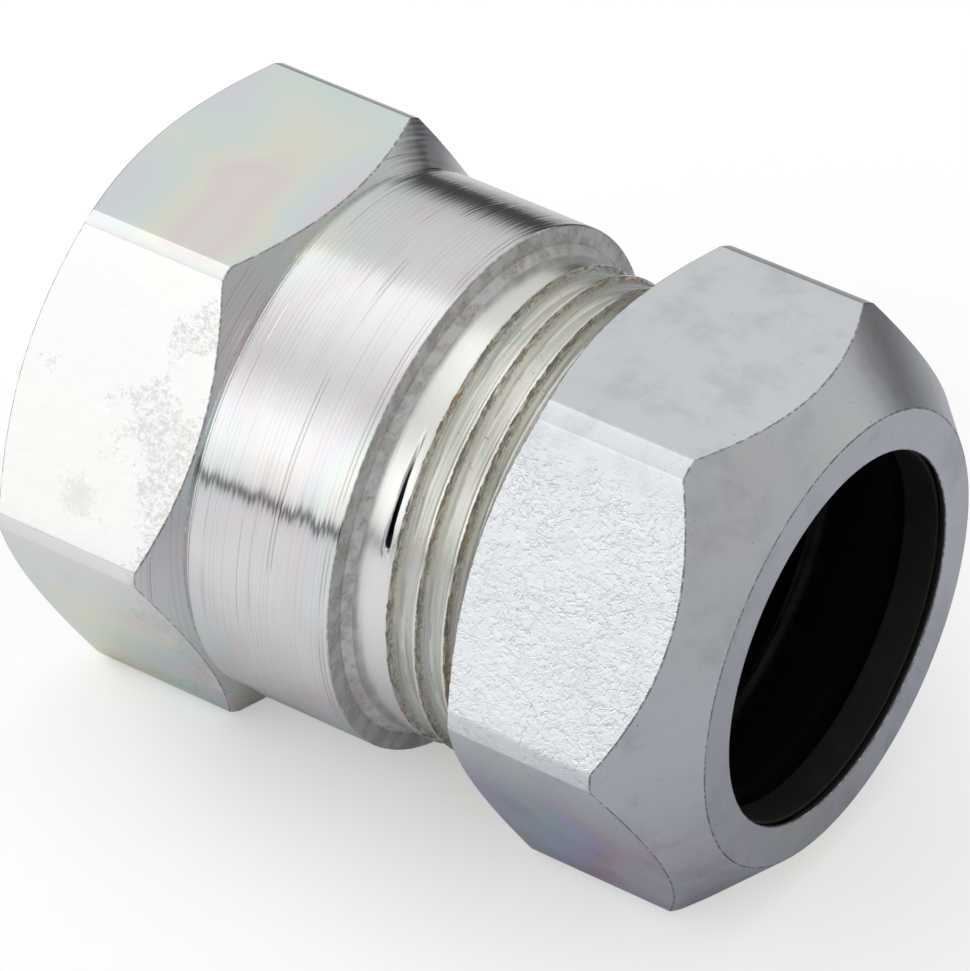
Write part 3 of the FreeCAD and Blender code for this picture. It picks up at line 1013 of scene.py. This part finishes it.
maleThread = {
    "start": bodyLook["shoulder"] + bodyLook["shoulderBevel"],
    "end": bodyLook["end"],
    "pitch": 3.0,
    "firstCrest": 38.375,
    "crestRadius": bodyLook["shankRadius"],
    "rootRadius": 20.97,
    "crestShare": 0.09,
    "rootShare": 0.3,
    "hollow": 2.1,
    "startLap": -0.375,
    "fadeLaps": 0.3,
    "slot": {"start": -0.645, "end": -0.561, "middle": -0.27, "width": 0.125, "depth": 0.4},
    "startRadius": bodyLook["shankRadius"],
    "startSlope": 0.0,
    "endRadius": bodyLook["endRadius"],
    "endSlope": 1.0,
    "fadeLength": 0.001,
    "side": 1,
    "wander": 0.03,
    "seed": 3,
    "rowPhases": sorted({*finePhases, *(1 - phase for phase in finePhases[1:])}),
}
pipeThread = {
    "start": 0.0,
    "end": bodyLook["stopStart"],
    "pitch": 2.309,
    "firstCrest": 1.0,
    "crestRadius": bodyLook["tappingRadius"],
    "rootRadius": 16.62,
    "crestShare": 0.16,
    "rootShare": 0.16,
    "hollow": 1.0,
    "startLap": -90,
    "fadeLaps": 1,
    "startRadius": bodyLook["tappingMouth"],
    "startSlope": 1.0,
    "endRadius": bodyLook["tappingRadius"],
    "endSlope": 1.0,
    "fadeLength": 3.0,
    "side": -1,
    "wander": 0.0,
    "seed": 5,
    "rowPhases": [0.0, 0.08, 0.25, 0.42, 0.5, 0.58, 0.75, 0.92],
}


def makeBody(look):
    columns = hexagonColumns(look["corner"])
    hexagon = hexagonRadius(columns, look["corner"])
    rearSlope, frontSlope = (math.tan(math.radians(look[name])) for name in ("endChamfer", "frontChamfer"))
    rear = (hexagon - look["endFace"]) * rearSlope
    front = look["hexagonLength"] - (hexagon - look["reliefRadius"]) * frontSlope
    profile = [
        (0, "endFace", "edge", "turned"),
        (rear, hexagon, "edge", "drawn"),
        (front, hexagon, "arcEdge", "turned"),
        ("hexagonLength", "reliefRadius", "reliefEdge", "turned"),
        ("collarStart", "reliefRadius", "reliefEdge", "turned"),
        ("collarStart", "collarRadius", "collarEdge", "turned"),
        ("shoulder", "collarRadius", "shoulderEdge", "faced"),
        ("shoulder", look["shankRadius"] + look["shoulderBevel"], "shoulderFoot", "faced"),
        (look["shoulder"] + look["shoulderBevel"], "shankRadius", 0, None),
        # the end face, seat and socket inside the nut are painted near black: painted shade
        ("end", "endRadius", 0, "socket"),
        ("end", "seatMouth", "edge", "socket"),
        ("seatStart", "seatSmall", "socketEdge", "socket"),
        ("seatStart", "socketRadius", "socketEdge", "socket"),
        ("stopEnd", "socketRadius", "socketEdge", "socket"),
        ("stopEnd", "waterwayRadius", "stopEdge", "bore"),
        ("stopStart", "waterwayRadius", "stopEdge", "bore"),
        ("stopStart", "tappingRadius", 0, None),
        (0, "tappingMouth", 0, "turned"),
    ]
    blank = Blank("couplingBody", columns)
    blank.revolve(profile, look)
    body = finishMesh(cutThreads(blank, (maleThread, "thread"), (pipeThread, "bore")))
    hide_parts("coupling_body")
    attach(body, "coupling")


makeBody(bodyLook)
print("coupling body turned")


# Nut

nutLook = {
    "corner": 28.3275,
    "start": endsOf("compression_nut")[0],
    "end": endsOf("compression_nut")[1],
    "endFace": 23.8,
    "rearChamfer": 30.0,
    "frontRadius": 21.3,
    "mouthRadius": 17.45,
    "mouthLand": 0.3,
    "roomRadius": 21.2,
    "threadEnd": 62.5,
    "countersink": 23.45,
    "edge": 0.12,  # roundings from here on
    "arcEdge": 0.22,
    "coneEdge": 0.2,
    "landEdge": 0.05,
    "roomEdge": 0.3,
}
nutThread = {
    **pipeThread,
    "start": nutLook["start"],
    "end": nutLook["threadEnd"],
    "pitch": maleThread["pitch"],
    "firstCrest": maleThread["firstCrest"] + maleThread["pitch"] * 3.5,
    "crestRadius": nutLook["roomRadius"],
    "rootRadius": 22.65,
    "crestShare": 0.2,
    "rootShare": 0.24,
    "startRadius": nutLook["countersink"],
    "endRadius": nutLook["roomRadius"],
    "fadeLength": 2.0,
    "seed": 7,
    "rowPhases": [0.0, 0.09, 0.11, 0.2, 0.29, 0.37, 0.39, 0.5, 0.61, 0.63, 0.71, 0.8, 0.89, 0.91],
}


def makeNut(look):
    columns = hexagonColumns(look["corner"])
    hexagon = hexagonRadius(columns, look["corner"])
    rear = look["start"] + (hexagon - look["endFace"]) * math.tan(math.radians(look["rearChamfer"]))
    front = look["end"] - (hexagon - look["frontRadius"])
    cone = look["end"] - look["mouthLand"]
    profile = [
        ("start", "endFace", "edge", "satin"),
        (rear, hexagon, "edge", "dented"),
        (front, hexagon, "arcEdge", "satin"),
        ("end", "frontRadius", "coneEdge", "satin"),
        ("end", "mouthRadius", "edge", "satin"),
        (cone, "mouthRadius", "landEdge", "bore"),
        (cone - (look["roomRadius"] - look["mouthRadius"]), "roomRadius", "roomEdge", "bore"),
        ("threadEnd", "roomRadius", 0, None),
        ("start", "countersink", 0, "satin"),
    ]
    blank = Blank("compressionNut", columns)
    blank.revolve(profile, look)
    nut = finishMesh(cutThreads(blank, (nutThread, "bore")))
    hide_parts("compression_nut")
    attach(nut, "nut")


makeNut(nutLook)
print("nut turned")


# Seal, washer and clamp ring

sealLook = {
    "rear": endsOf("seal_ring")[0],
    "nose": endsOf("seal_ring")[1],
    "bore": 17.27,
    "noseRadius": 17.57,
    "outer": 20.95,
    "band": 3.35,  # plain bore behind the nose
    "grooveWidth": 2.2,
    "grooveSlope": 0.25,  # share of the groove's width
    "grooveRadius": 17.97,
    "lip": 0.15,  # roundings from here on
    "noseEdge": 0.1,
    "rearEdge": 0.25,
    "coneEdge": 0.3,
    "grooveEdge": 0.2,
}
washerLook = {
    "rear": endsOf("thrust_washer")[0],
    "front": endsOf("thrust_washer")[1],
    "bore": 17.45,
    "outer": 20.95,
    "edge": 0.15,
}


def makeSeal(look):
    coneFoot = look["nose"] - (look["outer"] - look["noseRadius"])
    groove = look["nose"] - look["band"]
    grooveRear = groove - look["grooveWidth"]
    slope = look["grooveWidth"] * look["grooveSlope"]
    profile = [
        # the rubber's rear face and the bore deeper in than the band take the painted shade copy
        ("rear", "bore", "lip", "deepRubber"),
        ("rear", "outer", "rearEdge", "rubber"),
        (coneFoot, "outer", "coneEdge", "rubber"),
        ("nose", "noseRadius", "noseEdge", "rubber"),
        ("nose", "bore", "noseEdge", "rubber"),
        (groove, "bore", "lip", "deepRubber"),
        (groove - slope, "grooveRadius", "grooveEdge", "deepRubber"),
        (grooveRear + slope, "grooveRadius", "grooveEdge", "deepRubber"),
        (grooveRear, "bore", "lip", "deepRubber"),
    ]
    blank = Blank("sealRing", roundColumns)
    blank.revolve(profile, look)
    seal = finishMesh(blank.build())
    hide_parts("seal_ring")
    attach(seal, "seals")


def makeWasher(look):
    profile = [
        # the washer is painted near black all over: painted shade
        ("rear", "bore", "edge", "greased"),
        ("rear", "outer", "edge", "greased"),
        ("front", "outer", "edge", "greased"),
        ("front", "bore", "edge", "greased"),
    ]
    blank = Blank("thrustWasher", roundColumns)
    blank.revolve(profile, look)
    washer = finishMesh(blank.build())
    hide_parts("thrust_washer")
    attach(washer, "seals")


makeSeal(sealLook)
makeWasher(washerLook)
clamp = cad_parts["clamp_ring"]
clamp.data.materials.clear()
clamp.data.materials.append(finishes["steel"])
print("seal, washer and clamp ring made")
